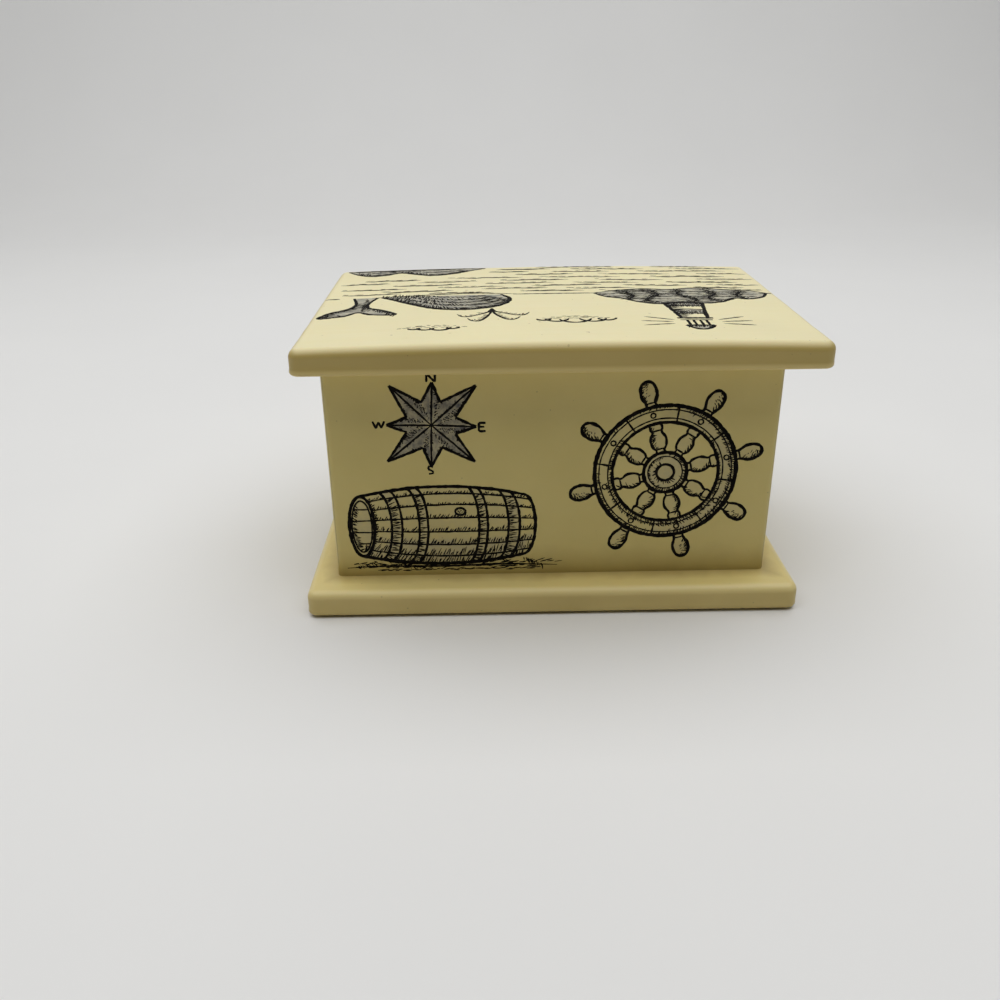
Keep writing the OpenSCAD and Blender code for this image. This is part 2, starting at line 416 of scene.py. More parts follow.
# the walls: painted shade up their foot, where they meet the base
wall_ivory = ivory(
    "wall_ivory", (0.655, 0.535, 0.185, 1), (0.60, 0.485, 0.155, 1), (0.74, 0.62, 0.28, 1),
    stain=True, painted_shade=0.75)
wall_pieces = {}
for turn, side in enumerate(("front", "right", "back", "left")):
    wall = mitred_wall(side + "_panel", turn, 0.0005 if side == "front" else 0.002)
    wall.data.materials.append(wall_ivory)
    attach(wall, "box")
    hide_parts(side + "_wall")
    wall_pieces[side] = wall

# The floor lining: a felt pad laid loose on the base between the walls, so that what is
# kept in the box neither rattles nor scratches.
lining = felt_sheet("felt_floor_lining", "floor_lining", 5.0)
lining.data.materials.append(felt)
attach(lining, "box")
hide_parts("floor_lining")
low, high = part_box("floor_lining")


# The engraving on the front: lines scratched into the wall with a point and filled with
# black ink, their shading made of short strokes, and a thin grey wash of ink in places.
# Sizes in a drawing are millimetres on the panel; the wall's lower middle is 0, 0.
def smooth(points, closed=False, step=0.5):
    """A soft curve through a few given points."""
    p = [np.array(q, float) for q in points]
    if closed:
        p = [p[-1]] + p + [p[0], p[1]]
    else:
        p = [2 * p[0] - p[1]] + p + [2 * p[-1] - p[-2]]
    path = []
    for a, b, c, d in zip(p, p[1:], p[2:], p[3:]):
        steps = max(2, round(np.linalg.norm(c - b) / step))
        for t in np.arange(steps) / steps:
            path.append(0.5 * (2 * b + (c - a) * t + (2 * a - 5 * b + 4 * c - d) * t**2
                               + (3 * b - a - 3 * c + d) * t**3))
    return path + [p[-2]]


def straight(a, b, step=0.5):
    a, b = np.array(a, float), np.array(b, float)
    steps = max(2, round(math.dist(a, b) / step))
    return [a + (b - a) * i / steps for i in range(steps + 1)]


def arc(cx, cy, rx, ry, start, end, step=0.5):
    steps = max(4, round(abs(math.radians(end - start)) * max(rx, ry) / step))
    angles = [math.radians(start + (end - start) * i / steps) for i in range(steps + 1)]
    return [np.array((cx + rx * math.cos(a), cy + ry * math.sin(a))) for a in angles]


class Drawing:
    """Pen work for one panel: lines, rows of shading strokes, and washes."""

    def __init__(self):
        self.lines, self.rows, self.washes = [], [], []

    def line(self, path, width=0.5, ends=0.45):
        """A line of one width; ends is the share of it left at the line's two ends."""
        self.lines.append((path, width, ends))

    def row(self, path, length, slant, gap=0.42, width=0.2):
        """Strokes along a path, slant degrees off its run and gap apart."""
        self.rows.append((path, length, math.radians(slant), gap, width))

    def wash(self, outline, strength, soft=0.6):
        """Thin ink inside an outline, its edge soft over so many millimetres."""
        self.washes.append((np.array(outline), strength, soft))


def strands(name, paths, values):
    """Loose polylines as one mesh, with named numbers on every point."""
    points, edges, numbers = [], [], {key: [] for key in values}
    for k, path in enumerate(paths):
        first = len(points)
        points += [(q[0] / 1000, q[1] / 1000, 0.0) for q in path]
        edges += [(first + i, first + i + 1) for i in range(len(path) - 1)]
        for key in values:
            numbers[key] += values[key][k]
    mesh = mesh_from(name, points, [], edges)
    for key, data in numbers.items():
        mark(mesh, key, data)
    return put_in_scene(name, mesh)


def geometry_tree(name, sizes):
    """A geometry tree with named inputs, ending in the sockets that the caller links."""
    tree = bpy.data.node_groups.new(name, "GeometryNodeTree")
    for side in ("INPUT", "OUTPUT"):
        tree.interface.new_socket("Geometry", in_out=side, socket_type="NodeSocketGeometry")
    for label, kind in sizes:
        tree.interface.new_socket(label, in_out="INPUT", socket_type="NodeSocket" + kind)
    nodes = tree.nodes
    return tree, nodes.new("NodeGroupInput").outputs, nodes.new("NodeGroupOutput").inputs


def grown(piece, tree, values):
    """Runs a tree on a piece and keeps the result as its plain mesh."""
    modifier = piece.modifiers.new(tree.name, "NODES")
    modifier.node_group = tree
    for item in tree.interface.items_tree:
        if item.in_out == "INPUT" and item.name in values:
            modifier[item.identifier] = values[item.name]
    ready = piece.evaluated_get(bpy.context.evaluated_depsgraph_get())
    mesh = bpy.data.meshes.new_from_object(ready)
    piece.modifiers.remove(modifier)
    piece.data = mesh


def vector(tree, operation, first, second):
    """A Vector Math node; SCALE takes a number second, the others a vector."""
    sockets = {0: first, "Scale" if operation == "SCALE" else 1: second}
    return place(tree, "ShaderNodeVectorMath", sockets, operation=operation).outputs[0]


def plot(tree, *values):
    return place(tree, "ShaderNodeCombineXYZ", dict(enumerate(values))).outputs[0]


def number(tree, label):
    sockets = {"Name": label}
    return place(tree, "GeometryNodeInputNamedAttribute", sockets, data_type="FLOAT").outputs[0]


def shape(tree, kind, sockets, **settings):
    """A geometry node of which only the geometry is used."""
    return place(tree, "GeometryNode" + kind, sockets, **settings).outputs[0]


# lay_on_panel carries a flat drawing onto whatever surface the panel really has
PANEL = [
    ("Panel", "Object"), ("Middle", "Vector"), ("Across", "Vector"), ("Up", "Vector"),
    ("Out", "Vector")]
lay, into, out = geometry_tree("lay_on_panel", PANEL)
position = place(lay, "GeometryNodeInputPosition").outputs[0]
flat = place(lay, "ShaderNodeSeparateXYZ", {0: position}).outputs
sideways = vector(lay, "SCALE", into["Across"], flat[0])
spot = vector(lay, "ADD", sideways, vector(lay, "SCALE", into["Up"], flat[1]))
spot = vector(lay, "ADD", spot, into["Middle"])
hit = place(lay, "GeometryNodeRaycast", {
    "Target Geometry": place(
        lay, "GeometryNodeObjectInfo", {"Object": into["Panel"]}).outputs["Geometry"],
    "Source Position": vector(lay, "ADD", spot, vector(lay, "SCALE", into["Out"], 0.01)),
    "Ray Direction": vector(lay, "SCALE", into["Out"], -1.0), "Ray Length": 0.03}).outputs
landed = place(lay, "GeometryNodeSwitch", {
    "Switch": hit["Is Hit"], "False": spot, "True": hit["Hit Position"]},
    input_type="VECTOR").outputs[0]
proud = vector(lay, "ADD", landed, vector(lay, "SCALE", into["Out"], flat[2]))
settled = shape(lay, "SetPosition", {"Geometry": into["Geometry"], "Position": proud})
lay.links.new(settled, out["Geometry"])


def inked(tree, into, out, geometry):
    """Ends a tree: the drawing is laid on its panel, made plain mesh, and takes its ink."""
    sockets = {"Geometry": geometry, **{label: into[label] for label, _ in PANEL}}
    whole = shape(tree, "Group", sockets, node_tree=lay)
    whole = shape(tree, "SetShadeSmooth", {"Geometry": whole})
    whole = shape(tree, "RealizeInstances", {"Geometry": whole})
    whole = shape(tree, "SetMaterial", {"Geometry": whole, "Material": into["Ink"]})
    tree.links.new(whole, out["Geometry"])


# pen_lines turns each polyline into a thin rib of ink with a slightly unsteady run
pen, into, out = geometry_tree("pen_lines", PANEL + [
    ("Step", "Float"), ("Unsteady", "Float"), ("Flatness", "Float"), ("Seed", "Float"),
    ("Ink", "Material")])
run = shape(pen, "MeshToCurve", {"Mesh": into["Geometry"]})
run = shape(pen, "ResampleCurve", {"Curve": run, "Length": into["Step"]}, mode="LENGTH")
position = place(pen, "GeometryNodeInputPosition").outputs[0]
start = vector(pen, "ADD", position, vector(pen, "SCALE", (1.0, 0.37, 0.0), into["Seed"]))
shake = place(pen, "ShaderNodeTexNoise", {"Vector": start, "Scale": 420.0, "Detail": 2.0})
shift = vector(pen, "SUBTRACT", shake.outputs["Color"], (0.5, 0.5, 0.5))
shift = vector(pen, "MULTIPLY", shift, (1.0, 1.0, 0.0))
shift = vector(pen, "SCALE", shift, into["Unsteady"])
run = shape(pen, "SetPosition", {"Geometry": run, "Offset": shift})
swell = place(pen, "ShaderNodeTexNoise", {"Scale": 900.0, "Detail": 1.0}).outputs[0]
press = reckon(
    pen, "MULTIPLY", reach(pen, swell, 0.3, 0.7, 0.72, 1.2), number(pen, "half_width"))
run = shape(pen, "SetCurveRadius", {"Curve": run, "Radius": press})
run = shape(pen, "SetCurveNormal", {"Curve": run}, mode="Z_UP")
nib = shape(pen, "CurvePrimitiveCircle", {"Resolution": 6, "Radius": 1.0})
nib = shape(pen, "Transform", {"Geometry": nib, "Scale": plot(pen, 1.0, into["Flatness"], 1.0)})
rib = shape(pen, "CurveToMesh", {
    "Curve": run, "Profile Curve": nib, "Scale": press, "Fill Caps": True})
inked(pen, into, out, rib)

# shading_strokes sets short tapering strokes along guide lines, each a little different
strokes, into, out = geometry_tree("shading_strokes", PANEL + [
    ("Height", "Float"), ("Seed", "Int"), ("Ink", "Material")])


def chance(low, high, draw):
    """A random number for each stroke, another one for each draw."""
    sockets = {2: low, 3: high, "Seed": reckon(strokes, "ADD", into["Seed"], float(draw))}
    return place(strokes, "FunctionNodeRandomValue", sockets, data_type="FLOAT").outputs[1]


guide = shape(strokes, "MeshToCurve", {"Mesh": into["Geometry"]})
dots = place(strokes, "GeometryNodeCurveToPoints", {
    "Curve": guide, "Length": number(strokes, "gap")}, mode="LENGTH").outputs
heading = place(strokes, "ShaderNodeSeparateXYZ", {0: dots["Tangent"]}).outputs
angle = reckon(strokes, "ARCTAN2", heading[1], heading[0])
angle = reckon(strokes, "ADD", angle, number(strokes, "slant"))
angle = reckon(strokes, "ADD", angle, chance(-0.22, 0.22, 1))
long = reckon(strokes, "MULTIPLY", number(strokes, "length"), chance(0.45, 1.15, 2))
thick = reckon(strokes, "MULTIPLY", number(strokes, "width"), chance(0.7, 1.35, 3))
flake = shape(strokes, "MeshIcoSphere", {"Radius": 0.5, "Subdivisions": 1})
flake = shape(strokes, "Transform", {"Geometry": flake, "Translation": (0.5, 0.0, 0.0)})
jump = plot(strokes, chance(-0.00016, 0.00016, 4), chance(-0.00016, 0.00016, 5))
spread = shape(strokes, "SetPosition", {"Geometry": dots["Points"], "Offset": jump})
set_out = shape(strokes, "InstanceOnPoints", {
    "Points": spread, "Instance": flake, "Scale": plot(strokes, long, thick, into["Height"]),
    "Rotation": plot(strokes, 0.0, 0.0, angle)})
inked(strokes, into, out, shape(strokes, "RealizeInstances", {"Geometry": set_out}))

ink, tree, shader = finish("engraving_ink")
patchy = speckle(tree, spot_on(tree), 700.0, 3.0)
black, worn_black = (0.002, 0.0015, 0.001, 1), (0.012, 0.010, 0.008, 1)
feed(tree, shader, {
    "Base Color": mix(tree, reach(tree, patchy, 0.45, 0.75), black, worn_black),
    "Roughness": reach(tree, patchy, 0.3, 0.7, 0.5, 0.75), "Specular IOR Level": 0.05})


def engrave(drawing, name, body, panel, middle, across, up, weight, seed):
    """Cuts a drawing into a panel: its lines, its shading strokes and its washes.

    weight makes the lines wider, and no higher. Each thins over a fifth of its run."""
    out = Vector(across).cross(Vector(up))
    where = {
        "Panel": panel, "Middle": middle, "Across": across, "Up": up, "Out": out, "Ink": ink}
    widths = []
    for path, width, ends in drawing.lines:
        t = np.linspace(0, 1, len(path))
        taper = ends + (1 - ends) * np.minimum(1, 5 * np.minimum(t, 1 - t))
        widths.append(list(weight * width / 2000 * taper))
    lines = strands(name + "_lines", [d[0] for d in drawing.lines], {"half_width": widths})
    grown(lines, pen, {
        **where, "Step": 0.00045, "Unsteady": 0.00022, "Flatness": 0.14 / weight, "Seed": seed})
    units = {"length": 0.001, "slant": 1.0, "gap": 0.001, "width": 0.001}
    values = {
        label: [[row[k] * unit] * len(row[0]) for row in drawing.rows]
        for k, (label, unit) in enumerate(units.items(), 1)}
    shading = strands(name + "_strokes", [row[0] for row in drawing.rows], values)
    grown(shading, strokes, {**where, "Height": 0.00007, "Seed": int(seed * 10)})
    for piece in (lines, shading):
        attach(piece, body)

    # each point of the panel's front takes its ink from the strongest wash over it
    mesh = panel.data
    spots = np.array([v.co[:] for v in mesh.vertices]) - np.array(middle)
    flat = np.stack([spots @ np.array(across), spots @ np.array(up)], axis=1) * 1000
    facing = np.array([v.normal[:] for v in mesh.vertices]) @ np.array(out) > 0.5
    wet = np.zeros(len(flat))
    for outline, strength, soft in drawing.washes:
        a, b = outline, np.roll(outline, -1, axis=0)
        run, fall = b - a, np.where(b[:, 1] == a[:, 1], 1e-9, b[:, 1] - a[:, 1])
        near = facing & np.all(flat > outline.min(0) - soft, axis=1)
        near &= np.all(flat < outline.max(0) + soft, axis=1)
        for i in np.nonzero(near)[0]:
            p = flat[i]
            along = np.clip(((p - a) * run).sum(1) / np.maximum((run**2).sum(1), 1e-9), 0, 1)
            gap = np.hypot(*(p - a - run * along[:, None]).T).min()
            crossings = ((a[:, 1] > p[1]) != (b[:, 1] > p[1])) & (
                p[0] < run[:, 0] * (p[1] - a[:, 1]) / fall + a[:, 0])
            inside = gap if crossings.sum() % 2 else -gap
            wet[i] = max(wet[i], strength * min(1.0, max(0.0, 0.5 + inside / soft)))
    mark(mesh, "ink_wash", wet)


front = Drawing()

# compass rose with eight points, the slanting ones longer, each split into two facets
rose = np.array((-26.8, 37.6))
tips = [(length, math.radians(angle)) for length, angle in (
    (9.9, 87), (13.5, 42), (9.9, -3), (13.0, -43), (9.9, -92), (13.2, -140), (9.9, -181),
    (12.7, -226))]
notches = [
    (5.7, angle - math.radians(19 if k % 2 == 0 else 24)) for k, (_, angle) in enumerate(tips)]
for k, (length, angle) in enumerate(tips):
    tip = rose + length * np.array((math.cos(angle), math.sin(angle)))
    left, right = (
        rose + r * np.array((math.cos(a), math.sin(a))) for r, a in (notches[k - 1], notches[k]))
    front.line(straight(left, tip), 0.58, 0.9)
    front.line(straight(tip, right), 0.58, 0.9)
    front.line(straight(rose, tip), 0.44, 0.6)
    front.wash([rose, tip, right], 0.97, 0.5)
    front.wash([rose, left, tip], 0.84, 0.5)
    for share, length in ((0.3, 0.75), (0.5, 0.7), (0.7, 0.55)):
        start = rose + share * (right - rose)
        end = start + 0.4 * (1 - share * 0.5) * (tip - rose)
        front.row(straight(start, end), length, -50 - 20 * share, 0.38, 0.25)
    front.row(straight(rose + 0.15 * (tip - rose), rose + 0.55 * (tip - rose)), 0.75, 38, 0.5, 0.22)
    front.row(straight(right, 0.55 * right + 0.45 * tip), 0.95, 42, 0.26, 0.3)
    front.row(straight(left, 0.75 * left + 0.25 * tip), 0.75, -42, 0.28, 0.28)
letters = (
    ((-26.5, 48.5), (-0.9, -0.95, -0.9, 0.95), (-0.9, 0.95, 0.9, -0.95), (0.9, -0.95, 0.9, 0.95)),
    ((-15.6, 37.0), (-0.7, -0.95, -0.7, 0.95), (-0.7, 0.95, 0.8, 0.95), (-0.7, 0.05, 0.5, 0.05),
     (-0.7, -0.95, 0.8, -0.95)),
    ((-38.4, 37.9), (-1.3, 0.8, -0.6, -0.8), (-0.6, -0.8, 0.0, 0.6), (0.0, 0.6, 0.6, -0.8),
     (0.6, -0.8, 1.3, 0.8)))
for (x, y), *marks in letters:
    for x0, y0, x1, y1 in marks:
        front.line(straight((x + x0, y + y0), (x + x1, y + y1), 0.4), 0.5, 0.8)
curl = [(-26.8, 27.6), (-27.7, 27.8), (-27.8, 27.0), (-27.0, 26.7), (-26.8, 26.1), (-27.8, 25.9)]
front.line(smooth(curl, step=0.3), 0.45, 0.8)

# ship's wheel with eight turned spokes
hub = np.array((25.6, 25.4))


def about(radius, degrees, aside=0.0):
    """A point so far from the hub in one direction, moved aside from that line."""
    c, s = math.cos(math.radians(degrees)), math.sin(math.radians(degrees))
    return hub + np.array((radius * c - aside * s, radius * s + aside * c))


def hoop(radius, start, end):
    return arc(*hub, radius, radius, start, end)


for radius, width in (
        (16.0, 0.85), (12.0, 0.7), (15.0, 0.3), (13.0, 0.3), (4.9, 0.75), (2.0, 0.6), (3.9, 0.3)):
    front.line(hoop(radius, 5 * radius, 5 * radius + 360), width, 1.0)
spoke = [(4.9, 1.15), (5.6, 0.8), (6.5, 1.5), (8.4, 1.75), (10.0, 1.0), (10.8, 1.4), (12.0, 1.2)]
grip = [(16.0, 1.3), (16.5, 1.0), (17.2, 1.1), (18.8, 1.75), (20.6, 1.65), (21.7, 1.0), (22.0, 0.0)]
for k in range(8):
    turn = 14 + 45 * k
    for side in (-1, 1):
        front.line(smooth([about(r, turn, side * w) for r, w in spoke], step=0.35), 0.55, 0.8)
    whole = [about(r, turn, w) for r, w in grip] + [about(r, turn, -w) for r, w in grip[-2::-1]]
    front.line(smooth(whole, step=0.35), 0.68, 0.85)
    for r, w in ((5.9, 0.8), (10.3, 0.95), (17.0, 1.0)):
        front.line([about(r, turn, s * w) for s in (-1, -0.33, 0.33, 1)], 0.4, 0.8)
    front.line(arc(*about(14.0, turn), 0.6, 0.6, 0, 360, 0.3), 0.36, 1.0)
    front.line(straight(about(12.0, turn + 22.5), about(16.0, turn + 22.5)), 0.42, 0.8)
    dark = -1 if 100 < (turn % 360) < 300 else 1
    for outline, out_by, length, gap, width in (
            (spoke[1:6], 1, 1.3, 0.36, 0.27), (grip[2:6], 1, 1.5, 0.34, 0.27),
            (grip[3:6], 0.3, 0.9, 0.5, 0.22)):
        shady = smooth([about(r, turn, -dark * out_by * w) for r, w in outline], step=0.35)
        front.row(shady, length, 58 * dark, gap, width)
    front.wash(whole, 0.22, 0.5)
    body = [about(r, turn, w) for r, w in spoke] + [about(r, turn, -w) for r, w in spoke[::-1]]
    front.wash(body, 0.2, 0.5)
for radius, start, end, length, slant in (
        (12.0, 140, 350, 1.5, -68), (12.0, -10, 50, 1.0, -60), (16.0, -85, 75, 1.7, 68),
        (16.0, 75, 140, 0.9, 60), (16.0, 180, 275, 1.4, 70), (13.0, 190, 330, 0.9, -60),
        (15.0, -50, 40, 0.9, 60), (4.9, -130, 80, 1.4, 70), (2.0, 110, 320, 1.2, -70),
        (3.9, 100, 250, 0.8, 60)):
    front.row(hoop(radius, start, end), length, slant, 0.36, 0.27)
front.wash(hoop(5.0, 0, 350), 0.34, 0.8)
front.wash(hoop(16.0, -100, 80) + hoop(12.0, 80, -100), 0.34, 1.0)
front.wash(hoop(16.0, 80, 260) + hoop(12.0, 260, 80), 0.16, 1.0)

# a cask lying on the ground: staves, hoops, its left head, and the shadow under it
cask = np.array((-25.2, 12.9))
HALF, BELLY, HEAD = 18.6, 9.9, 7.7  # half its length, half its girth at the middle and the ends


def stave(x, v):
    """A point of the cask's side: x along it, v from its lower to its upper outline."""
    girth = HEAD + (BELLY - HEAD) * (1 - (x / HALF) ** 2)
    lean = 2.9 * math.sqrt(max(0.0, 1 - v * v))
    return cask + np.array((x + lean, v * girth))


for v, width in (
        (1.0, 0.75), (-1.0, 0.85), (0.82, 0.42), (0.54, 0.42), (0.2, 0.42), (-0.16, 0.42),
        (-0.5, 0.42), (-0.8, 0.42)):
    front.line([stave(x, v) for x in np.linspace(-HALF, HALF, 60)], width, 0.8)
bands = ((-14.6, -12.2), (-8.2, -6.2), (5.6, 7.6), (12.4, 15.0))
girdle = np.sin(np.radians(np.arange(-90, 91, 5)))
for x in [x for band in bands for x in band] + [HALF]:
    front.line([stave(x, v) for v in girdle], 0.72 if x == HALF else 0.55, 0.9)
head = cask + np.array((-HALF, 0.0))
front.line(arc(*head, 2.9, HEAD, 0, 360), 0.72, 1.0)
front.line(arc(*head, 2.3, HEAD - 1.1, 0, 360), 0.4, 1.0)
for y in (-4.4, -1.5, 1.5, 4.4):
    half = 2.2 * math.sqrt(1 - (y / (HEAD - 1.1)) ** 2)
    front.line(straight(head + np.array((-half, y)), head + np.array((half, y))), 0.36, 0.8)
for v, length in (
        (-1.0, 2.6), (-0.8, 2.3), (-0.5, 1.9), (-0.16, 1.5), (0.2, 1.2), (0.54, 0.8), (0.82, 1.0)):
    for start, end in ((-18.2, -14.8), (-12.0, -8.4), (-6.0, 5.4), (7.8, 12.2), (15.2, 18.4)):
        front.row([stave(x, v) for x in np.linspace(start, end, 20)], length, 64, 0.38, 0.27)
for left, right in bands:
    front.row([stave(left, v) for v in girdle[3:29]], right - left, -82, 0.34, 0.27)
    band = [stave(left, v) for v in girdle] + [stave(right, v) for v in girdle[::-1]]
    front.wash(band, 0.34, 0.5)
front.row(arc(*head, 2.2, HEAD - 1.2, 120, 300), 1.7, 60, 0.34, 0.27)
front.row(arc(*head, 2.9, HEAD, -60, 60), 1.2, -70, 0.36, 0.27)
bung = stave(1.5, 0.36)
front.line(arc(*bung, 1.2, 0.9, 0, 360, 0.3), 0.5, 1.0)
front.row(arc(*bung, 0.7, 0.5, 0, 360, 0.3), 0.6, 60, 0.3, 0.24)
lower, upper = np.linspace(-HALF, HALF, 20), np.linspace(HALF, -HALF, 20)
for height, strength, soft in ((-0.3, 0.42, 2.4), (1.0, 0.2, 1.2)):
    front.wash([stave(x, -1.0) for x in lower] + [stave(x, height) for x in upper], strength, soft)
front.wash(arc(*head, 2.9, HEAD, 0, 350), 0.3, 0.8)
ground = [(-48.0, 2.1), (-40.0, 2.5), (-25.0, 2.3), (-10.0, 2.6), (1.5, 2.2)]
front.line(smooth(ground), 0.45, 0.3)
for y, start, end in (
        (2.2, -44.0, -6.0), (1.4, -41.0, -3.5), (2.9, -38.0, -10.0), (3.1, -12.0, 0.5),
        (3.0, -46.5, -40.0)):
    front.row(straight((start, y), (end, y)), 2.4, 8, 0.8, 0.3)
for start, end in (
        ((-46.0, 2.6), (-41.5, 3.9)), ((-6.4, 4.6), (-2.0, 2.6)), ((-36.0, 3.2), (-30.0, 2.6))):
    front.row(straight(start, end), 1.7, -48, 0.36, 0.28)

engrave(
    front, "front_engraving", "box", wall_pieces["front"], middle=(0.0, ring_low.y, ring_low.z),
    across=(1.0, 0.0, 0.0), up=(0.0, 0.0, 1.0), weight=1.15, seed=2.0)

# The locating plate: a smaller slab glued under the lid, its lower edge bevelled, which
# drops between the walls with a small gap and keeps the lid from sliding off.
low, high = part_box("lid_locating_plate")
profile = [(0.0012, 0.0), (0.0008, 0.0001), (0.0001, 0.0008), (0.0, 0.0012), (0.0, high.z - low.z)]
points = []
for inset, height in profile:
    for sx, sy in ((-1, -1), (1, -1), (1, 1), (-1, 1)):
        x = (high.x if sx > 0 else low.x) - sx * inset
        y = (high.y if sy > 0 else low.y) - sy * inset
        points.append((x, y, low.z + height))
faces = faces_between(len(profile), 4)
faces += [(3, 2, 1, 0), tuple(range(len(points) - 4, len(points)))]
plate = put_in_scene("locating_plate", mesh_from("locating_plate", points, faces))
plate.data.materials.append(base_ivory)
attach(plate, "lid")
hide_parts("lid_locating_plate")

# The lid slab: a thicker piece planed to a shallow crown, its edges rounded over by hand, its top
# painted paler than its sides as painted light, and its lower edge painted lighter as bounce light.
lid_low, lid_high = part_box("lid_slab")
lid_middle = (lid_low.x + lid_high.x) / 2
lid = soft_slab(
    "lid_top", "lid_slab", middle=lid_middle, crown=0.0008, top_r=0.0022, bottom_r=0.0009,
    corner_r=0.0026, cell=0.0006, uneven=0.0003, worn_top=0.52, foot_bounce_light=2.0, seed=7.0)
# the lid: its top painted paler than its sides as painted light, its lower edge painted lighter as
# bounce light
lid_ivory = ivory(
    "lid_ivory", (0.50, 0.375, 0.115, 1), (0.46, 0.345, 0.10, 1), (0.63, 0.495, 0.185, 1),
    stain=True, painted_top_light=(0.86, 0.78, 0.46, 1))
lid.data.materials.append(lid_ivory)
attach(lid, "lid")
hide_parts("lid_slab")

# The engraving on the lid, cut to be looked at from the back: a lighthouse on a rocky
# point, a whale blowing, open sea towards the back edge and two small clouds in a bare sky.
# In the drawing x runs to the box's left, y towards its front, and the lid's middle is 0, 0.
sea = Drawing()
HORIZON = -5.0
for start, end in ((-55.5, -52.0), (-12.0, 9.0), (52.0, 55.5)):
    sea.line(straight((start, HORIZON), (end, HORIZON)), 0.6, 0.5)
waves = [
    (-54, -45, -8.4), (-29, -14, -7.8), (-9, 7, -8.2), (14, 30, -7.6), (37, 52, -8.6),
    (-50, -37, -11.4), (-22, -6, -10.8), (0, 17, -11.8), (24, 42, -10.8), (-55, -43, -14.6),
    (-36, -20, -14.0), (-14, 4, -14.8), (11, 28, -14.4), (36, 53, -14.0), (-50, -31, -17.8),
    (-24, -8, -17.4), (-2, 16, -18.2), (22, 40, -17.6), (-55, -40, -21.4), (-31, -14, -21.0),
    (-6, 12, -21.8), (18, 34, -21.2), (41, 54, -21.0), (-48, -28, -25.0), (-20, 0, -24.8),
    (6, 24, -25.4), (33, 48, -24.6), (-55, -42, -28.6), (-34, -16, -28.4), (-8, 8, -29.0),
    (-50, -26, -32.2), (-18, -2, -32.0), (4, 15, -32.8), (-55, -36, -35.6), (-28, -8, -35.4),
    (-2, 13, -36.0), (-46, -30, -38.4), (-20, 2, -38.2)]
dice = np.random.RandomState(11)
for k, (start, end, y) in enumerate(waves):
    bumps = [0, *dice.uniform(-0.35, 0.4, 6), 0]
    crest = [(start + (end - start) * i / 7, y + b) for i, b in enumerate(bumps)]
    sea.line(smooth(crest), 0.5 + 0.12 * (k % 3), 0.2)
    shift = dice.uniform(0, 4)
    trough = straight((start + shift, y - 0.8), (end - 4 + shift, y - 0.8))
    sea.row(trough, 2.8, 2, 2.0 + 0.8 * (k % 3), 0.42)

# the rocky point and its lighthouse, on the viewer's right from the front
rocks = [
    (-54, -5.2), (-52, -1.0), (-48, 1.4), (-44.5, 0.6), (-41, 4.4), (-36, 6.2), (-30, 5.8),
    (-25, 7.0), (-20.5, 4.6), (-17.5, 1.2), (-13.5, -1.0), (-11, -5.0)]
foot = [
    (-11, -5.0), (-17, -7.8), (-24, -9.6), (-30, -8.8), (-37, -10.8), (-44, -9.2),
    (-50, -8.0), (-54, -5.2)]
sea.line(smooth(rocks), 0.85, 0.7)
sea.line(smooth(foot), 0.6, 0.5)
for path in (
        [(-48, 1.4), (-46, -2.6), (-48.4, -7.6)],
        [(-41, 4.2), (-38.6, 0.2), (-41.0, -4.6), (-39.0, -9.6)],
        [(-33.5, 6.0), (-35.2, 1.2), (-31.6, -3.6), (-33.4, -8.6)],
        [(-25, 6.8), (-23.2, 2.0), (-26.6, -3.0), (-24.8, -8.8)],
        [(-18.6, 2.6), (-20.4, -2.2), (-18.2, -7.2)]):
    cleft = smooth(path)
    sea.line(cleft, 0.6, 0.4)
    sea.row(cleft, 3.0, 64, 0.4, 0.34)
    sea.row(cleft, 2.0, -70, 0.5, 0.3)
for y, start, end in (
        (-1.6, -51, -15), (-4.2, -52, -13), (-6.8, -49, -18), (1.6, -45, -19), (4.0, -39, -22)):
    sea.row(straight((start, y), (end, y)), 2.4, 24, 0.55, 0.34)
sea.wash(smooth(rocks, step=1.0) + smooth(foot, step=1.0), 0.78, 1.0)
LAMP = -31.0
tower_heights, tower_halves = (5.6, 14.0, 21.0), (4.7, 3.6, 2.9)


def tower_side(side):
    return smooth([(LAMP + side * w, y) for y, w in zip(tower_heights, tower_halves)])


for side in (-1, 1):
    sea.line(tower_side(side), 0.75, 0.8)
for low_y, high_y in ((5.9, 9.4), (13.2, 17.0)):
    low_half, high_half = np.interp((low_y, high_y), tower_heights, tower_halves)
    left, right = LAMP - low_half, LAMP + low_half
    sea.wash([
        (left, low_y), (right, low_y), (LAMP + high_half, high_y), (LAMP - high_half, high_y)],
        0.85, 0.6)
    for y in (low_y + 0.5, low_y + 1.4, low_y + 2.3, low_y + 3.1):
        sea.row(straight((left + 0.4, y), (right - 0.9, y)), 1.3, 78, 0.36, 0.3)
    for y, half in ((low_y, low_half), (high_y, high_half)):
        sea.line(smooth([(LAMP - half, y), (LAMP, y - 0.7), (LAMP + half, y)]), 0.6, 0.9)
for y, half, width in ((21.0, 4.0, 1.0), (22.7, 3.6, 0.5)):
    sea.line(straight((LAMP - half, y), (LAMP + half, y)), width, 0.8)
for side in (-1, -0.35, 0.35, 1):
    sea.line(straight((LAMP + 2.1 * side, 22.7), (LAMP + 2.1 * side, 27.4)), 0.5, 0.8)
cap = [
    (LAMP + x, y) for x, y in ((-3.0, 27.4), (-1.9, 29.6), (0, 30.8), (1.9, 29.6), (3.0, 27.4))]
sea.line(smooth(cap, step=0.4), 0.75, 0.9)
sea.line(straight(cap[0], cap[-1]), 0.8, 0.9)
sea.row(straight((LAMP - 2.5, 27.7), (LAMP + 2.5, 27.7)), 2.0, 80, 0.36, 0.32)
sea.wash(smooth(cap, step=1.0), 0.8, 0.5)
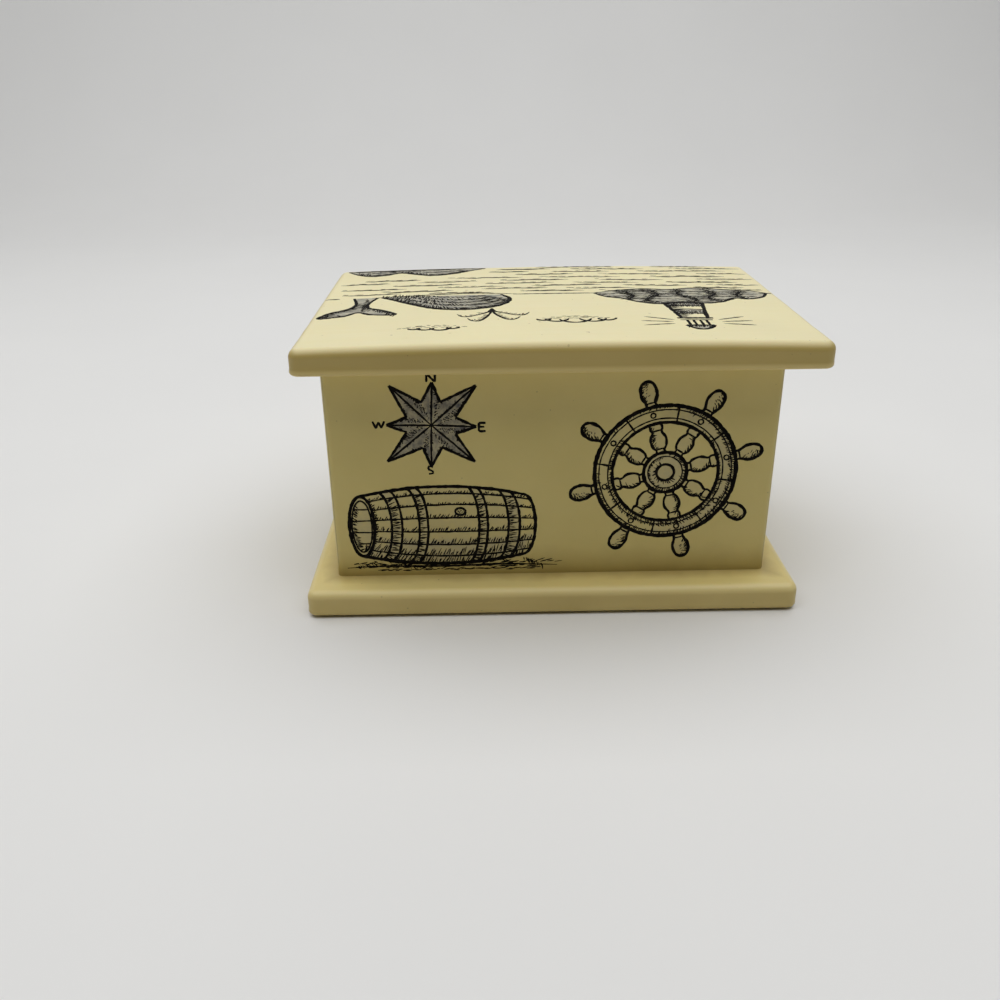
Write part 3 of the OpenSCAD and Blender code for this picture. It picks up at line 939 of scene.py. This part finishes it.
sea.row(tower_side(1), 3.2, 100, 0.42, 0.28)
sea.wash([(LAMP + x, y) for x, y in ((4.7, 5.6), (2.9, 21), (0.4, 21), (1.2, 5.6))], 0.3, 1.4)
lantern = np.array((LAMP, 25.0))
for angle in (-26, -8, 10, 170, 188, 206):
    ray = np.array((math.cos(math.radians(angle)), math.sin(math.radians(angle))))
    sea.line(straight(lantern + 5.4 * ray, lantern + 12.5 * ray), 0.45, 0.2)

# the whale's back and raised flukes, on the viewer's left from the front
back = [
    (12.0, -5.0), (10.0, -0.6), (11.2, 4.8), (15.4, 8.8), (21.6, 10.2), (28.5, 8.0),
    (34.0, 2.8), (38.5, -2.0), (41.5, -5.0)]
sea.line(smooth(back), 0.95, 0.7)
sea.line(smooth([(8.0, -5.2), (18, -6.8), (30, -6.2), (44.0, -5.0)]), 0.6, 0.3)
for share, length in ((0.0, 3.6), (0.22, 3.4), (0.42, 3.2), (0.62, 2.8), (0.82, 2.0)):
    inner = [
        (22 + (x - 22) * (1 - share * 0.55), HORIZON + (y - HORIZON) * (1 - share))
        for x, y in back[1:]]
    sea.row(smooth(inner), length, -58, 0.4, 0.34)
sea.wash(smooth(back, step=1.0), 0.86, 0.8)
sea.line(smooth([(14.8, 1.4), (15.9, 0.6), (17.2, 1.2)], step=0.3), 0.5, 0.8)
fluke = [
    (42.6, -5.0), (44.2, 1.4), (43.6, 5.6), (39.6, 9.0), (36.8, 13.0), (42.2, 12.4),
    (45.8, 9.8), (48.8, 13.0), (54.2, 14.4), (52.6, 10.0), (48.4, 5.8), (47.2, 1.2),
    (48.4, -5.0)]
sea.line(smooth(fluke), 0.8, 0.7)
sea.row(smooth(fluke[1:5]), 2.8, -60, 0.4, 0.32)
sea.row(smooth(fluke[7:12]), 2.6, -66, 0.4, 0.32)
sea.row(smooth([(45.4, -4.0), (45.6, 2.0), (45.4, 8.0)]), 2.0, 50, 0.42, 0.3)
sea.wash(smooth(fluke, step=1.0), 0.8, 0.8)
BLOWHOLE = 14.4
for bend, high in ((-5.6, 16.4), (-3.4, 20.2), (2.6, 21.0), (5.0, 17.0)):
    side, x = math.copysign(1, bend), BLOWHOLE + bend
    plume = [
        (BLOWHOLE + 0.1 * side, 9.6), (BLOWHOLE + 0.22 * bend, 0.5 * high + 5.0), (x, high),
        (x + 1.9 * side, high - 0.2), (x + 3.0 * side, high - 2.4)]
    sea.line(smooth(plume), 0.5, 0.3)
    sea.row(smooth(plume[1:4]), 1.5, -70 * side, 0.7, 0.28)

# low rocks along the back edge, and two small clouds in the bare sky
swell = [
    (16, -38.6), (20, -35.6), (25, -31.8), (30.5, -30.4), (35, -32.6), (39, -35.0),
    (43, -32.6), (47, -31.6), (51, -34.4), (54, -38.6)]
sea.line(smooth(swell), 0.85, 0.6)
sea.line(straight(swell[0], swell[-1]), 0.7, 0.5)
sea.row(smooth(swell[1:-1]), 3.0, -58, 0.4, 0.36)
sea.row(smooth([(22, -36.4), (30, -34.0), (38, -36.4), (48, -34.8)]), 2.2, -52, 0.45, 0.36)
sea.row(straight((24, -38.0), (51, -38.0)), 2.4, 10, 0.7, 0.4)
sea.wash(smooth(swell, step=1.0), 0.8, 1.0)
for x, y, puffs in (
        (-5.0, 20.0, ((-6.4, 2.1), (-3.2, 3.0), (0.8, 3.6), (4.9, 2.6), (7.8, 1.6))),
        (27.0, 26.0, ((-4.0, 1.4), (-1.3, 2.3), (2.0, 1.9), (4.5, 1.3)))):
    for side, size in puffs:
        sea.line(arc(x + side, y, size, 1.1 * size, 10, 170, 0.4), 0.7, 0.4)
    for drop, length in ((0.0, 7.2), (0.9, 5.0), (1.7, 2.6)):
        sea.row(straight((x - length, y - drop), (x + length, y - drop)), 1.9, 2, 1.5, 0.34)

engrave(
    sea, "lid_engraving", "lid", lid, middle=(lid_middle, 0.0, lid_high.z),
    across=(-1.0, 0.0, 0.0), up=(0.0, -1.0, 0.0), weight=1.4, seed=4.0)

# The table: a seamless pale sheet that curves up behind the box. It isn't part of the object.
BEND_START, BEND_R = 0.5, 0.3
bend = [(y, 0.0) for y in np.linspace(-0.9, BEND_START, 8)]
for degrees in range(6, 91, 6):
    a = math.radians(degrees)
    bend.append((BEND_START + BEND_R * math.sin(a), BEND_R - BEND_R * math.cos(a)))
bend += [(BEND_START + BEND_R, z) for z in (0.6, 1.2, 2.0)]
points = [(x, y, z) for y, z in bend for x in (-1.6, 1.6)]
faces = [(2 * k, 2 * k + 1, 2 * k + 3, 2 * k + 2) for k in range(len(bend) - 1)]
table = put_in_scene("table_sweep", mesh_from("table_sweep", points, faces), crease=180)
paper, tree, shader = finish("pale_paper")
shade = speckle(tree, spot_on(tree), 9.0, 3.0)
feed(tree, shader, {
    "Base Color": mix(tree, shade, (0.80, 0.80, 0.79, 1), (0.84, 0.84, 0.83, 1)),
    "Roughness": 0.75})
table.data.materials.append(paper)

# The light: one wide soft panel overhead, a little behind the box, and a dim even room,
# which the camera alone sees brighter.
room = bpy.data.worlds.new("room")
bpy.context.scene.world = room
room.use_nodes = True
tree = room.node_tree
seen = place(tree, "ShaderNodeLightPath").outputs["Is Camera Ray"]
feed(tree, tree.nodes["Background"], {
    "Color": (0.98, 0.99, 1.0, 1), "Strength": reach(tree, seen, 0.0, 1.0, 0.04, 0.6)})
panel_light = bpy.data.lights.new("overhead_panel", "AREA")
panel_light.shape = "RECTANGLE"
panel_light.size, panel_light.size_y = 1.5, 1.1
panel_light.energy = 9.5
panel_light.color = (1.0, 0.997, 0.995)
lamp = bpy.data.objects.new("overhead_panel", panel_light)
lamp.location = (-0.03, 0.03, 0.8)
bpy.context.scene.collection.objects.link(lamp)

# The camera: where the photograph was taken from, fitted to the edges of lid, walls and base.
FOCAL_PIXELS, FRAME_PIXELS = 944.8, 1000
view = bpy.data.cameras.new("camera")
view.sensor_width = 36.0
view.lens = FOCAL_PIXELS * 36.0 / FRAME_PIXELS
view.clip_start = 0.01
eye = bpy.data.objects.new("camera", view)
yaw, pitch, roll = (math.radians(a) for a in (0.446, 24.697, -0.746))
ahead = Vector(
    (math.sin(yaw) * math.cos(pitch), math.cos(yaw) * math.cos(pitch), -math.sin(pitch)))
right = Vector((math.cos(yaw), -math.sin(yaw), 0))
above = right.cross(ahead)
right, above = (
    math.cos(roll) * right + math.sin(roll) * above,
    math.cos(roll) * above - math.sin(roll) * right)
turned = Matrix((right, above, -ahead)).transposed().to_4x4()
eye.matrix_world = Matrix.Translation((-0.01337, -0.22934, 0.11618)) @ turned
bpy.context.scene.collection.objects.link(eye)
bpy.context.scene.camera = eye
bpy.context.scene.view_settings.view_transform = "Standard"
